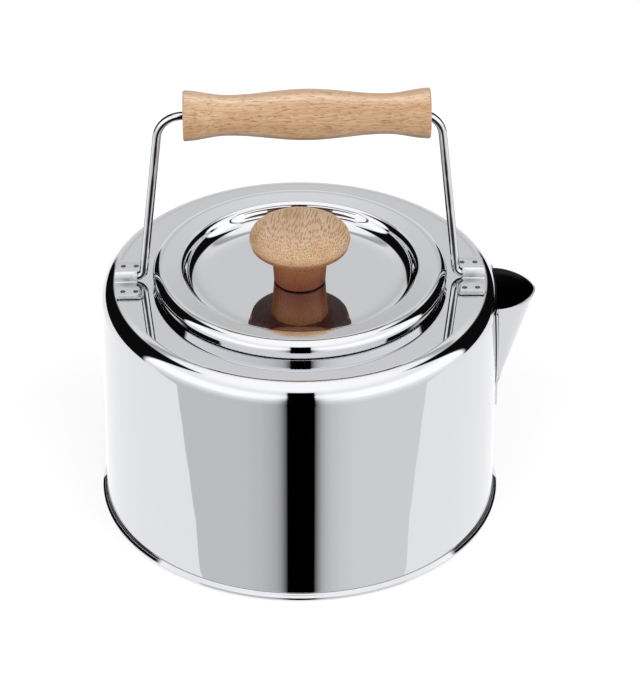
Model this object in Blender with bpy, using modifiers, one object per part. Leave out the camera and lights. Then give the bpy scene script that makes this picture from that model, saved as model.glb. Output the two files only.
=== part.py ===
"""Stove-top camping kettle with a swinging wire bail, a turned wooden grip and a lift-off lid.

Units are metres and +Z is up. The origin is the centre of the underside, on the kettle's axis.
The spout points along +X and the bail swings about an axis along X.
"""

import math

import bmesh
import bpy
from mathutils import Matrix

# Body
BODY_RADIUS = 0.0800
PLATE_HEIGHT = 0.1008
SHOULDER_RADIUS = 0.0077
BODY_SHEET = 0.0006
MOUTH_RADIUS = 0.0556
MOUTH_EDGE_RADIUS = 0.0010
NECK_BOTTOM = 0.0956
FOOT_FLANGE_TOP = 0.0015
FOOT_FLANGE_RADIUS = 0.08095
FOOT_FLARE_RADIUS = 0.0009

# Base, rolled round the foot flange of the body
BASE_SHEET = 0.0005
SEAM_RADIUS = 0.0817
SEAM_HEIGHT = 0.0027
SEAM_EDGE_RADIUS = 0.0009
SEAM_INNER_RADIUS = 0.08045
GROOVE_OUTER_RADIUS = 0.0788
GROOVE_INNER_RADIUS = 0.0722
GROOVE_DEPTH = 0.0009
GROOVE_SLOPE = 0.0006

# Spout
SPOUT_SHEET = 0.0006
SPOUT_TOP = 0.0948
SPOUT_FOOT = 0.0485
SPOUT_TIP_REACH = 0.0951
SPOUT_HALF_WIDTH = 0.0159
SPOUT_ROUNDNESS = 1.7
SPOUT_FOOT_HALF_WIDTH = 0.0012
SPOUT_FLANGE = 0.0024
SPOUT_TONGUE_BOTTOM = 0.0394
# Smallest share of the flange's width left at the tip of the tongue
SPOUT_TONGUE_TIP = 0.4
SPOUT_TONGUE_HEIGHTS = (SPOUT_TONGUE_BOTTOM, 0.0410, 0.0440)
SPOUT_RISES = (0.0, 0.08, 0.25, 0.5, 0.75, 1.0)
SPOUT_SPANS = 14
STRAINER_HOLE_RADIUS = 0.0023
STRAINER_ROWS = ((0.0875, 4), (0.0797, 3), (0.0719, 2), (0.0641, 1))
STRAINER_PITCH = 0.0064
DRILL_LENGTH = 0.012

# Lid: a dished sheet with a rolled edge and a hem turned in below it.
# Angles are the lean of the surface's normal away from straight up, outwards.
LID_SHEET = 0.0005
RECESS_FLOOR = 0.10065
WALL_LEAN = 72
# Radius, lean at the outer end and number of spans of each arc between the flat floor and the wall.
RECESS_ARCS = ((0.045, 6, 1), (0.012, 20, 2), (0.005, WALL_LEAN, 4))
RIM_LIP_RADIUS = 0.0012
RIM_LIP_CENTRE = 0.0486
RIM_SLOPE = 4.7
ROLL_TOP_RADIUS = 0.00475
ROLL_SIDE_RADIUS = 0.0035
ROLL_SIDE_CENTRE = (0.055715, 0.10417)
ROLL_JOIN = 45
ROLL_EDGE_RADIUS = 0.0008
ROLL_EDGE_START = 84
SKIRT_LEAN = 107
HEM_RADIUS = 0.0007
HEM_END_RADIUS = 0.0563

# Ring under the lid: its flange lies in the hem and its plug fills the mouth
RING_SHEET = 0.0008
RING_FLANGE_RADIUS = 0.0577
RING_PLUG_RADIUS = 0.0550
RING_FILLET = 0.0006
RING_PLUG_BOTTOM = 0.0930

# Knob and its fastening
KNOB_HEIGHT = 0.1264
KNOB_CAP_RADIUS = 0.0202
KNOB_EDGE_HEIGHT = 0.1207
KNOB_NECK_RADIUS = 0.0113
KNOB_FOOT_RADIUS = 0.01035
KNOB_BORE_RADIUS = 0.0022
KNOB_BORE_TOP = 0.1155
SCREW_RADIUS = 0.0019
SCREW_TOP = 0.1148
SCREW_POINT = 0.0006
SCREW_HEAD_RADIUS = 0.0040
SCREW_HEAD_HEIGHT = 0.0020
WASHER_RADIUS = 0.0055
WASHER_THICKNESS = 0.0008
FASTENER_HOLE_RADIUS = 0.0023

# Bail wire and grip
WIRE_RADIUS = 0.0017
PIVOT_HEIGHT = 0.1030
WIRE_END = 0.0738
LEG_X_LOW = 0.0612
LEG_Z_LOW = 0.1200
LEG_LEAN = 0.1024
FOOT_BEND_RADIUS = 0.0032
TOP_BEND_RADIUS = 0.0104
GRIP_AXIS_HEIGHT = 0.1775
GRIP_LENGTH = 0.0972
GRIP_CENTRE_X = 0.0027
GRIP_END_RADIUS = 0.0100
GRIP_MIDDLE_RADIUS = 0.0101
GRIP_WAIST_RADIUS = 0.0080
GRIP_WAIST_X = 0.0310
GRIP_BORE_RADIUS = 0.0024
GRIP_BORE_MOUTH_RADIUS = 0.0042
GRIP_BORE_MOUTH_DEPTH = 0.0060
GRIP_EDGE = 0.0007
GRIP_SPANS = 22

# Brackets
BRACKET_SHEET = 0.0007
BRACKET_X = 0.0685
BRACKET_WIDTH = 0.0115
BRACKET_LENGTH = 0.0277
BRACKET_CORNER = 0.0022
BRIDGE_CLEARANCE = 0.0003
BRIDGE_INNER_X = 0.0654
BRIDGE_TOE = 0.0007
BRIDGE_TOE_RISE = 0.0004
NOTCH_HALF_LENGTH = 0.0054
WELD_X = 0.0026
WELD_Y = 0.0094
WELD_BALL_RADIUS = 0.0020
WELD_DEPTH = 0.0003
# The strip is bent a little longer than the bracket, and cut between these heights
STRIP_SPARE = 0.0005
CUT_LOW = 0.09
CUT_HIGH = 0.12

# Room left between pieces that touch
GAP = 0.0003
# Sides of the round sheet pieces
SIDES = 48
FULL_TURN = 2 * math.pi
MERGE = 0.00001


def clear_scene():
    for old in list(bpy.data.objects):
        bpy.data.objects.remove(old, do_unlink=True)


def new_collection(name):
    collection = bpy.data.collections.new(name)
    bpy.context.scene.collection.children.link(collection)
    return collection


def steel(name, roughness):
    material = bpy.data.materials.new(name)
    material.use_nodes = True
    shader = material.node_tree.nodes["Principled BSDF"]
    shader.inputs["Base Color"].default_value = (0.80, 0.80, 0.81, 1.0)
    shader.inputs["Metallic"].default_value = 1.0
    shader.inputs["Roughness"].default_value = roughness
    return material


def wood(name, colour):
    material = bpy.data.materials.new(name)
    material.use_nodes = True
    shader = material.node_tree.nodes["Principled BSDF"]
    shader.inputs["Base Color"].default_value = colour
    shader.inputs["Metallic"].default_value = 0.0
    shader.inputs["Roughness"].default_value = 0.45
    return material


def mesh_object(name, mesh, collection, material=None):
    thing = bpy.data.objects.new(name, mesh)
    collection.objects.link(thing)
    if material is not None:
        mesh.materials.append(material)
    return thing


def arc(centre_r, centre_z, radius, start, end, count):
    """Points on an arc in the profile plane; angles in degrees from +X towards +Z."""
    points = []
    for i in range(count + 1):
        angle = math.radians(start + (end - start) * i / count)
        points.append((centre_r + radius * math.cos(angle), centre_z + radius * math.sin(angle)))
    return points


def turned(name, profile, collection, material, sides=SIDES, closed=False, sheet=None):
    """A profile of (radius, height) points turned about Z, with the sheet growing inwards."""
    mesh = bpy.data.meshes.new(name)
    vertices = [(r, 0.0, z) for r, z in profile]
    edges = [(i, i + 1) for i in range(len(profile) - 1)]
    if closed:
        edges.append((len(profile) - 1, 0))
    mesh.from_pydata(vertices, edges, [])
    thing = mesh_object(name, mesh, collection, material)
    screw = thing.modifiers.new("Turn", "SCREW")
    screw.axis = "Z"
    screw.angle = FULL_TURN
    screw.steps = sides
    screw.render_steps = sides
    screw.use_merge_vertices = True
    screw.merge_threshold = MERGE
    screw.use_smooth_shade = True
    if sheet is not None:
        solidify = thing.modifiers.new("Sheet", "SOLIDIFY")
        solidify.thickness = sheet
        solidify.offset = -1.0
        solidify.use_even_offset = True
        solidify.use_rim = True
    return thing


def boolean(thing, cutter, operation):
    cut = thing.modifiers.new(operation.title(), "BOOLEAN")
    cut.operation = operation
    cut.solver = "EXACT"
    cut.object = cutter
    cutter.hide_render = True
    cutter.display_type = "WIRE"


def hole_rows():
    """Places (y, z) of the strainer holes, in rows that narrow towards the spout's foot."""
    for height, count in STRAINER_ROWS:
        for i in range(count):
            yield (i - (count - 1) / 2) * STRAINER_PITCH, height


def make_body(parts, cutters):
    plate = PLATE_HEIGHT
    shoulder_r = BODY_RADIUS - SHOULDER_RADIUS
    shoulder_z = plate - SHOULDER_RADIUS
    flare = FOOT_FLARE_RADIUS
    profile = [(MOUTH_RADIUS, NECK_BOTTOM)]
    profile += arc(MOUTH_RADIUS + MOUTH_EDGE_RADIUS, plate - MOUTH_EDGE_RADIUS, MOUTH_EDGE_RADIUS, 180, 90, 2)
    profile += arc(shoulder_r, shoulder_z, SHOULDER_RADIUS, 90, 0, 7)
    profile += arc(BODY_RADIUS + flare, FOOT_FLANGE_TOP + flare, flare, 180, 270, 2)
    profile += [(FOOT_FLANGE_RADIUS, FOOT_FLANGE_TOP)]
    body = turned("body_shell", profile, parts, steel("body_steel", 0.06), sheet=BODY_SHEET)

    drill = bmesh.new()
    for y, z in hole_rows():
        ring = bmesh.ops.create_cone(
            drill, cap_ends=True, segments=8,
            radius1=STRAINER_HOLE_RADIUS, radius2=STRAINER_HOLE_RADIUS, depth=DRILL_LENGTH)
        quarter_turn = Matrix.Rotation(math.pi / 2, 3, "Y")
        bmesh.ops.rotate(drill, verts=ring["verts"], cent=(0, 0, 0), matrix=quarter_turn)
        bmesh.ops.translate(drill, verts=ring["verts"], vec=(BODY_RADIUS, y, z))
    mesh = bpy.data.meshes.new("strainer_drill")
    drill.to_mesh(mesh)
    drill.free()
    boolean(body, mesh_object("strainer_drill", mesh, cutters), "DIFFERENCE")
    return body


def make_base(parts):
    profile = [(SEAM_INNER_RADIUS, SEAM_HEIGHT)]
    profile += arc(SEAM_RADIUS - SEAM_EDGE_RADIUS, SEAM_HEIGHT - SEAM_EDGE_RADIUS, SEAM_EDGE_RADIUS, 90, 0, 2)
    profile += arc(SEAM_RADIUS - SEAM_EDGE_RADIUS, SEAM_EDGE_RADIUS, SEAM_EDGE_RADIUS, 0, -90, 2)
    profile += [
        (GROOVE_OUTER_RADIUS, 0.0),
        (GROOVE_OUTER_RADIUS - GROOVE_SLOPE, GROOVE_DEPTH),
        (GROOVE_INNER_RADIUS + GROOVE_SLOPE, GROOVE_DEPTH),
        (GROOVE_INNER_RADIUS, 0.0),
        (0.0, 0.0),
    ]
    return turned("base_plate", profile, parts, steel("base_steel", 0.12), sheet=BASE_SHEET)


def spout_row(height, count):
    """Points of the spout's outer skin at one height, from flange edge to flange edge."""
    rise = max((height - SPOUT_FOOT) / (SPOUT_TOP - SPOUT_FOOT), 0.0)
    skin = BODY_RADIUS + GAP + SPOUT_SHEET
    drop = min(max((SPOUT_FOOT - height) / (SPOUT_FOOT - SPOUT_TONGUE_BOTTOM), 0.0), 1.0)
    half = SPOUT_FOOT_HALF_WIDTH + (SPOUT_HALF_WIDTH - SPOUT_FOOT_HALF_WIDTH) * rise
    edge = half + SPOUT_FLANGE * max(math.sqrt(1.0 - drop ** 3), SPOUT_TONGUE_TIP)
    wall_x = math.sqrt(skin ** 2 - half ** 2)
    reach = SPOUT_TIP_REACH - skin
    points = [(math.sqrt(skin ** 2 - edge ** 2), -edge, height)]
    for i in range(count + 1):
        angle = -math.pi / 2 + math.pi * i / count
        out = max(math.cos(angle), 0.0) ** (2 / SPOUT_ROUNDNESS)
        side = abs(math.sin(angle)) ** (2 / SPOUT_ROUNDNESS) * (1 if angle > 0 else -1)
        y = half * side
        on_wall = math.sqrt(skin ** 2 - y ** 2)
        tip = wall_x + (skin + reach * rise - wall_x) * out
        points.append((tip if rise > 0 else on_wall, y, height))
    points.append((math.sqrt(skin ** 2 - edge ** 2), edge, height))
    return points


def make_spout(parts):
    """A loft: level sections grow from a tongue on the wall to the open pouring lip."""
    heights = list(SPOUT_TONGUE_HEIGHTS)
    heights += [SPOUT_FOOT + (SPOUT_TOP - SPOUT_FOOT) * rise for rise in SPOUT_RISES]
    grid = bmesh.new()
    rows = []
    for height in heights:
        rows.append([grid.verts.new(point) for point in spout_row(height, SPOUT_SPANS)])
    for low, high in zip(rows, rows[1:]):
        for i in range(len(low) - 1):
            grid.faces.new((low[i], low[i + 1], high[i + 1], high[i]))
    mesh = bpy.data.meshes.new("spout")
    grid.to_mesh(mesh)
    grid.free()
    mesh.shade_smooth()
    spout = mesh_object("spout", mesh, parts, steel("spout_steel", 0.08))
    solidify = spout.modifiers.new("Sheet", "SOLIDIFY")
    solidify.thickness = SPOUT_SHEET
    solidify.offset = -1.0
    solidify.use_even_offset = True
    return spout


def leaning(centre, radius, start, end, count):
    """Points on an arc of the lid's skin, by the lean of its normal away from straight up."""
    return arc(centre[0], centre[1], radius, 90 - start, 90 - end, count)


def arc_centre(centre, radius, new_radius, lean):
    """Centre of another arc that meets this one smoothly where the normal has this lean."""
    step = radius - new_radius
    angle = math.radians(lean)
    return centre[0] + step * math.sin(angle), centre[1] + step * math.cos(angle)


def recess_rise(wall_top):
    """The recess from its flat floor to the foot of the wall, in arcs that grow steeper outwards."""
    points = [(0.0, RECESS_FLOOR)]
    inner = 0.0
    for radius, outer_lean, spans in RECESS_ARCS:
        start_r, start_z = points[-1]
        outer = math.radians(outer_lean)
        for step in range(1, spans + 1):
            lean = inner + (outer - inner) * step / spans
            r = start_r + radius * (math.sin(lean) - math.sin(inner))
            points.append((r, start_z + radius * (math.cos(inner) - math.cos(lean))))
        inner = outer
    foot_r, foot_z = points[-1]
    shift = wall_top[0] - (wall_top[1] - foot_z) / math.tan(inner) - foot_r
    return [(r + shift, z) for r, z in points]


def hem_bottom():
    return PLATE_HEIGHT + GAP


def lid_profile():
    """The lid's upper skin: floor, wall, lip, rim, rolled edge, skirt and the hem turned in under it."""
    top_centre = arc_centre(ROLL_SIDE_CENTRE, ROLL_SIDE_RADIUS, ROLL_TOP_RADIUS, ROLL_JOIN)
    edge_centre = arc_centre(ROLL_SIDE_CENTRE, ROLL_SIDE_RADIUS, ROLL_EDGE_RADIUS, ROLL_EDGE_START)
    slope = math.radians(RIM_SLOPE)
    rim_outer = leaning(top_centre, ROLL_TOP_RADIUS, -RIM_SLOPE, -RIM_SLOPE, 1)[0]
    rim_inner_r = RIM_LIP_CENTRE - RIM_LIP_RADIUS * math.sin(slope)
    rim_inner_z = rim_outer[1] - (rim_outer[0] - rim_inner_r) * math.tan(slope)
    lip_centre = (RIM_LIP_CENTRE, rim_inner_z - RIM_LIP_RADIUS * math.cos(slope))
    lip = leaning(lip_centre, RIM_LIP_RADIUS, -WALL_LEAN, -RIM_SLOPE, 3)

    profile = [(FASTENER_HOLE_RADIUS, RECESS_FLOOR)] + recess_rise(lip[0])
    profile += lip
    profile += leaning(top_centre, ROLL_TOP_RADIUS, -RIM_SLOPE, ROLL_JOIN, 3)
    profile += leaning(ROLL_SIDE_CENTRE, ROLL_SIDE_RADIUS, ROLL_JOIN, ROLL_EDGE_START, 3)[1:]
    edge = leaning(edge_centre, ROLL_EDGE_RADIUS, ROLL_EDGE_START, SKIRT_LEAN, 1)[1:]
    profile += edge
    hem_z = hem_bottom() + HEM_RADIUS
    skirt = math.radians(SKIRT_LEAN)
    drop = edge[-1][1] - (hem_z + HEM_RADIUS * math.cos(skirt))
    hem_r = edge[-1][0] + drop / math.tan(skirt) - HEM_RADIUS * math.sin(skirt)
    profile += leaning((hem_r, hem_z), HEM_RADIUS, SKIRT_LEAN, 180, 2)
    profile += [(HEM_END_RADIUS, hem_bottom())]
    return profile


def make_lid(parts):
    return turned("lid", lid_profile(), parts, steel("lid_steel", 0.06), sheet=LID_SHEET)


def make_lid_ring(parts):
    """The flanged ring: its flange lies on the lid's hem and its plug hangs in the mouth."""
    flange_z = hem_bottom() + LID_SHEET + GAP
    profile = [(RING_FLANGE_RADIUS, flange_z)]
    profile += arc(RING_PLUG_RADIUS + RING_FILLET, flange_z - RING_FILLET, RING_FILLET, 90, 180, 3)
    profile += [(RING_PLUG_RADIUS, RING_PLUG_BOTTOM)]
    return turned("lid_ring", profile, parts, steel("ring_steel", 0.08), sheet=RING_SHEET)


def make_knob(parts):
    """A mushroom knob turned in one piece: domed cap with a flat underside, and a stem that tapers down."""
    foot = RECESS_FLOOR + GAP
    cap = KNOB_CAP_RADIUS
    dome = KNOB_HEIGHT - KNOB_EDGE_HEIGHT
    profile = [
        (0.0, KNOB_HEIGHT),
        (cap * 0.30, KNOB_HEIGHT - dome * 0.045),
        (cap * 0.55, KNOB_HEIGHT - dome * 0.16),
        (cap * 0.76, KNOB_HEIGHT - dome * 0.36),
        (cap * 0.90, KNOB_HEIGHT - dome * 0.60),
        (cap * 0.98, KNOB_HEIGHT - dome * 0.84),
        (cap, KNOB_EDGE_HEIGHT),
        (cap * 0.985, KNOB_EDGE_HEIGHT - 0.0009),
        (cap * 0.94, KNOB_EDGE_HEIGHT - 0.0014),
        (KNOB_NECK_RADIUS + 0.0016, KNOB_EDGE_HEIGHT - 0.0022),
        (KNOB_NECK_RADIUS + 0.0003, KNOB_EDGE_HEIGHT - 0.0034),
        (KNOB_NECK_RADIUS, KNOB_EDGE_HEIGHT - 0.0055),
        (KNOB_FOOT_RADIUS, foot),
        (KNOB_BORE_RADIUS, foot),
        (KNOB_BORE_RADIUS, KNOB_BORE_TOP),
        (0.0, KNOB_BORE_TOP),
    ]
    return turned("knob", profile, parts, wood("knob_wood", (0.60, 0.36, 0.18, 1.0)), sides=32)


def washer_top():
    return RECESS_FLOOR - LID_SHEET - GAP


def make_knob_screw(parts):
    head_top = washer_top() - WASHER_THICKNESS - GAP
    profile = [
        (0.0, SCREW_TOP),
        (SCREW_RADIUS * 0.7, SCREW_TOP),
        (SCREW_RADIUS, SCREW_TOP - SCREW_POINT),
        (SCREW_RADIUS, head_top),
        (SCREW_HEAD_RADIUS, head_top),
        (SCREW_HEAD_RADIUS, head_top - SCREW_HEAD_HEIGHT * 0.5),
        (SCREW_HEAD_RADIUS * 0.75, head_top - SCREW_HEAD_HEIGHT),
        (0.0, head_top - SCREW_HEAD_HEIGHT),
    ]
    return turned("knob_screw", profile, parts, steel("screw_steel", 0.25), sides=12)


def make_knob_washer(parts):
    top = washer_top()
    bottom = top - WASHER_THICKNESS
    profile = [
        (FASTENER_HOLE_RADIUS, top),
        (WASHER_RADIUS, top),
        (WASHER_RADIUS, bottom),
        (FASTENER_HOLE_RADIUS, bottom),
    ]
    return turned("knob_washer", profile, parts, steel("washer_steel", 0.25), sides=20, closed=True)


def wire_half():
    """Centre line of one half of the bail, from its end in the bracket to the middle of the top."""
    lean = math.atan(LEG_LEAN)
    turn = 90 - math.degrees(lean)
    low_z = PIVOT_HEIGHT + FOOT_BEND_RADIUS
    tangent_z = low_z - FOOT_BEND_RADIUS * math.sin(lean)
    low_x = leg_x(tangent_z) + FOOT_BEND_RADIUS * math.cos(lean)
    points = [(WIRE_END, PIVOT_HEIGHT)]
    points += arc(low_x, low_z, FOOT_BEND_RADIUS, -90, -90 - turn, 4)
    top_z = GRIP_AXIS_HEIGHT - TOP_BEND_RADIUS
    tangent_z = top_z + TOP_BEND_RADIUS * math.sin(lean)
    top_x = leg_x(tangent_z) - TOP_BEND_RADIUS * math.cos(lean)
    points += arc(top_x, top_z, TOP_BEND_RADIUS, math.degrees(lean), 90, 7)
    return points


def leg_x(height):
    return LEG_X_LOW - LEG_LEAN * (height - LEG_Z_LOW)


def make_bail_wire(parts):
    half = wire_half()
    line = [(x, 0.0, z - PIVOT_HEIGHT) for x, z in half]
    line += [(-x, 0.0, z - PIVOT_HEIGHT) for x, z in reversed(half)]
    curve = bpy.data.curves.new("bail_wire", "CURVE")
    curve.dimensions = "3D"
    curve.bevel_depth = WIRE_RADIUS
    curve.bevel_resolution = 2
    curve.use_fill_caps = True
    spline = curve.splines.new("POLY")
    spline.points.add(len(line) - 1)
    for point, place in zip(spline.points, line):
        point.co = (*place, 1.0)
    curve.materials.append(steel("wire_steel", 0.06))
    wire = bpy.data.objects.new("bail_wire", curve)
    parts.objects.link(wire)
    return wire


def grip_radius(x):
    """Outer radius along the grip: a barrel in the middle, two waists and flared ends."""
    half = GRIP_LENGTH / 2
    if abs(x) <= GRIP_WAIST_X:
        swing = 0.5 + 0.5 * math.cos(math.pi * x / GRIP_WAIST_X)
        return GRIP_WAIST_RADIUS + (GRIP_MIDDLE_RADIUS - GRIP_WAIST_RADIUS) * swing
    swing = 0.5 - 0.5 * math.cos(math.pi * (abs(x) - GRIP_WAIST_X) / (half - GRIP_WAIST_X))
    return GRIP_WAIST_RADIUS + (GRIP_END_RADIUS - GRIP_WAIST_RADIUS) * swing


def make_grip(parts):
    half = GRIP_LENGTH / 2
    ease = GRIP_EDGE
    stations = [half - ease - (GRIP_LENGTH - 2 * ease) * i / GRIP_SPANS for i in range(GRIP_SPANS + 1)]
    profile = [(GRIP_END_RADIUS - ease, half)]
    profile += [(grip_radius(x), x) for x in stations]
    profile += [
        (GRIP_END_RADIUS - ease, -half),
        (GRIP_BORE_MOUTH_RADIUS, -half),
        (GRIP_BORE_RADIUS, GRIP_BORE_MOUTH_DEPTH - half),
        (GRIP_BORE_RADIUS, half - GRIP_BORE_MOUTH_DEPTH),
        (GRIP_BORE_MOUTH_RADIUS, half),
    ]
    material = wood("grip_wood", (0.78, 0.58, 0.36, 1.0))
    return turned("grip", profile, parts, material, sides=20, closed=True)


def bracket_section():
    """Upper skin of the bracket along Y: a flap, the bridge over the wire, and a flap."""
    flap = PLATE_HEIGHT + GAP + BRACKET_SHEET
    outer = WIRE_RADIUS + BRIDGE_CLEARANCE + BRACKET_SHEET
    rise = math.degrees(math.asin((flap + BRIDGE_TOE_RISE - PIVOT_HEIGHT) / outer))
    half = BRACKET_LENGTH / 2
    section = [(half, flap), (outer + BRIDGE_TOE, flap)]
    section += arc(0.0, PIVOT_HEIGHT, outer, rise, 180 - rise, 8)
    section += [(-outer - BRIDGE_TOE, flap), (-half, flap)]
    return section


def bracket_outline():
    """Plan of the bracket about its own centre, with the inner edge at -X notched for the wire."""
    half_x = BRACKET_WIDTH / 2
    half_y = BRACKET_LENGTH / 2
    inset = BRACKET_CORNER
    outline = []
    for corner_x, corner_y, start in ((1, 1, 0), (-1, 1, 90), (-1, -1, 180), (1, -1, 270)):
        centre_x = corner_x * (half_x - inset)
        centre_y = corner_y * (half_y - inset)
        outline += arc(centre_x, centre_y, inset, start, start + 90, 4)
        if start == 90:
            notch_x = BRIDGE_INNER_X - BRACKET_X
            narrow = WIRE_RADIUS + BRIDGE_CLEARANCE + BRACKET_SHEET
            outline += [(-half_x, NOTCH_HALF_LENGTH), (notch_x, narrow)]
            outline += [(notch_x, -narrow), (-half_x, -NOTCH_HALF_LENGTH)]
    return outline


def outline_cutter(name, outline, low, high, cutters):
    """A filled flat outline raised between two heights."""
    curve = bpy.data.curves.new(name, "CURVE")
    curve.dimensions = "2D"
    curve.fill_mode = "BOTH"
    curve.extrude = (high - low) / 2
    spline = curve.splines.new("POLY")
    spline.points.add(len(outline) - 1)
    for point, (x, y) in zip(spline.points, outline):
        point.co = (x, y, 0.0, 1.0)
    spline.use_cyclic_u = True
    drawn = bpy.data.objects.new(name + "_curve", curve)
    cutters.objects.link(drawn)
    bpy.context.view_layer.update()
    depsgraph = bpy.context.evaluated_depsgraph_get()
    mesh = bpy.data.meshes.new_from_object(drawn.evaluated_get(depsgraph))
    bpy.data.objects.remove(drawn, do_unlink=True)
    weld = bmesh.new()
    weld.from_mesh(mesh)
    bmesh.ops.remove_doubles(weld, verts=weld.verts, dist=MERGE)
    bmesh.ops.recalc_face_normals(weld, faces=weld.faces)
    bmesh.ops.translate(weld, verts=weld.verts, vec=(0, 0, (low + high) / 2))
    weld.to_mesh(mesh)
    weld.free()
    return mesh_object(name, mesh, cutters)


def weld_balls(name, cutters):
    """Four balls that press the shallow spot-weld marks into the flaps."""
    flap = PLATE_HEIGHT + GAP + BRACKET_SHEET
    balls = bmesh.new()
    for side_x in (-1, 1):
        for side_y in (-1, 1):
            ball = bmesh.ops.create_uvsphere(balls, u_segments=10, v_segments=14, radius=WELD_BALL_RADIUS)
            place = (side_x * WELD_X, side_y * WELD_Y, flap + WELD_BALL_RADIUS - WELD_DEPTH)
            bmesh.ops.translate(balls, verts=ball["verts"], vec=place)
    mesh = bpy.data.meshes.new(name)
    balls.to_mesh(mesh)
    balls.free()
    return mesh_object(name, mesh, cutters)


def make_bracket(name, side, parts, cutters):
    """A strip bent over the wire; side is +1 by the spout and -1 opposite it."""
    section = bracket_section()
    half_x = BRACKET_WIDTH / 2 + STRIP_SPARE
    strip = bmesh.new()
    rows = []
    for x in (-half_x, half_x):
        rows.append([strip.verts.new((x, y, z)) for y, z in section])
    for i in range(len(section) - 1):
        strip.faces.new((rows[0][i], rows[0][i + 1], rows[1][i + 1], rows[1][i]))
    mesh = bpy.data.meshes.new(name)
    strip.to_mesh(mesh)
    strip.free()
    bracket = mesh_object(name, mesh, parts, steel(name + "_steel", 0.08))
    solidify = bracket.modifiers.new("Sheet", "SOLIDIFY")
    solidify.thickness = BRACKET_SHEET
    solidify.offset = -1.0
    solidify.use_even_offset = True
    outline = outline_cutter(name + "_outline", bracket_outline(), CUT_LOW, CUT_HIGH, cutters)
    marks = weld_balls(name + "_welds", cutters)
    boolean(bracket, outline, "INTERSECT")
    boolean(bracket, marks, "DIFFERENCE")
    for thing in (bracket, outline, marks):
        thing.location.x = side * BRACKET_X
        if side < 0:
            thing.rotation_euler.z = math.pi
    return bracket


def main():
    clear_scene()
    parts = new_collection("camping_kettle")
    cutters = new_collection("cutters")
    make_body(parts, cutters)
    make_base(parts)
    make_spout(parts)
    for name, side in (("bracket_left", -1), ("bracket_right", 1)):
        make_bracket(name, side, parts, cutters)

    pivot = bpy.data.objects.new("bail_pivot", None)
    pivot.location = (0.0, 0.0, PIVOT_HEIGHT)
    parts.objects.link(pivot)
    wire = make_bail_wire(parts)
    wire.parent = pivot
    grip = make_grip(parts)
    grip.parent = pivot
    grip.location = (GRIP_CENTRE_X, 0.0, GRIP_AXIS_HEIGHT - PIVOT_HEIGHT)
    grip.rotation_euler = (0.0, math.pi / 2, 0.0)

    lid_seat = bpy.data.objects.new("lid_seat", None)
    parts.objects.link(lid_seat)
    for make in (make_lid, make_lid_ring, make_knob, make_knob_screw, make_knob_washer):
        make(parts).parent = lid_seat


main()
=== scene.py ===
"""The camping kettle dressed for its photograph: mirror-polished steel, turned wood, pale studio.

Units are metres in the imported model's frame: +Z up, +X to the spout, origin under the centre of
the base. Angles are in degrees.
"""

import math

import bmesh
import bpy
from mathutils import Matrix, Vector


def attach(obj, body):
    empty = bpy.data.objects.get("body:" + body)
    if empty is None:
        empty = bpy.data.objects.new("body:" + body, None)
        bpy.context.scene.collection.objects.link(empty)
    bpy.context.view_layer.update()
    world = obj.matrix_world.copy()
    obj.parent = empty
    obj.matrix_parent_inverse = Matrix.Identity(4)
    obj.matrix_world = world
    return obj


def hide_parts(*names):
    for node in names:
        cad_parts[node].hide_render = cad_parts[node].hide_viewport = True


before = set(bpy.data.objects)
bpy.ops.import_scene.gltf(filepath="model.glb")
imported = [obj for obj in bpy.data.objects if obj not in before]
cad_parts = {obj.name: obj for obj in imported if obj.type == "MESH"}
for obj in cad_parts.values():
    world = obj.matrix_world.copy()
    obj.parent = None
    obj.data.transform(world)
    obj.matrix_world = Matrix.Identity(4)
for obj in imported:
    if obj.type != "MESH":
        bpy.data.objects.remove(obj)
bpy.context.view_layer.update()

# Camera, fitted to the photograph
PHOTO_WIDTH = 640
PHOTO_HEIGHT = 689
SENSOR = 36.0
FOCAL_PIXELS = 4057.6
TARGET_PIXEL = (299.8, 382.9)
TARGET = (0.0, 0.0, 0.050)
CAMERA_DISTANCE = 1.6625
CAMERA_ELEVATION = 34.378
CAMERA_AZIMUTH = -1.3

# Body
BODY_RADIUS = 0.0800
PLATE_HEIGHT = 0.1008
SHOULDER_RADIUS = 0.0077
BODY_SHEET = 0.0006
MOUTH_RADIUS = 0.0556
MOUTH_EDGE_RADIUS = 0.0010
NECK_BOTTOM = 0.0956
FOOT_FLANGE_TOP = 0.0015
FOOT_FLANGE_RADIUS = 0.08095
FOOT_FLANGE_RIM = 0.00005

# Base
BASE_SHEET = 0.0005
SEAM_RADIUS = 0.0817
SEAM_EDGE_RADIUS = 0.0009
# Radius and height of the seam's stepped top, whose slopes mirror dark bands round the foot.
SEAM_STEPS = [
    (0.08033, 0.00280), (0.08083, 0.00235), (0.08087, 0.00223),
    (0.08137, 0.00178), (0.0817, 0.00148),
]
GROOVE_OUTER_RADIUS = 0.0788
GROOVE_INNER_RADIUS = 0.0722
GROOVE_DEPTH = 0.0009
GROOVE_SLOPE = 0.0006

# Spout
SPOUT_SHEET = 0.0006
SPOUT_TOP = 0.0948
SPOUT_FOOT = 0.0485
SPOUT_TIP_REACH = 0.0951
SPOUT_HALF_WIDTH = 0.0159
SPOUT_FOOT_HALF_WIDTH = 0.0012
SPOUT_ROUNDNESS = 1.7
SPOUT_FLANGE = 0.0024
SPOUT_TONGUE_BOTTOM = 0.0394
# Square of the share of the flange's width that is left at the end of the tongue.
SPOUT_TONGUE_END = 0.16
# A place inside the spout's channel, used to tell its inner faces from its outer ones.
SPOUT_INSIDE_X = BODY_RADIUS + 0.003
STRAINER_HOLE_RADIUS = 0.0023
STRAINER_ROWS = ((0.0875, 4), (0.0797, 3), (0.0719, 2), (0.0641, 1))
STRAINER_PITCH = 0.0064
DRILL_LENGTH = 0.012
DRILL_SIDES = 24

# Lid: angles are the lean of the surface's normal away from straight up, outwards
LID_SHEET = 0.0005
RECESS_FLOOR = 0.10065
WALL_LEAN = 68
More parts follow.
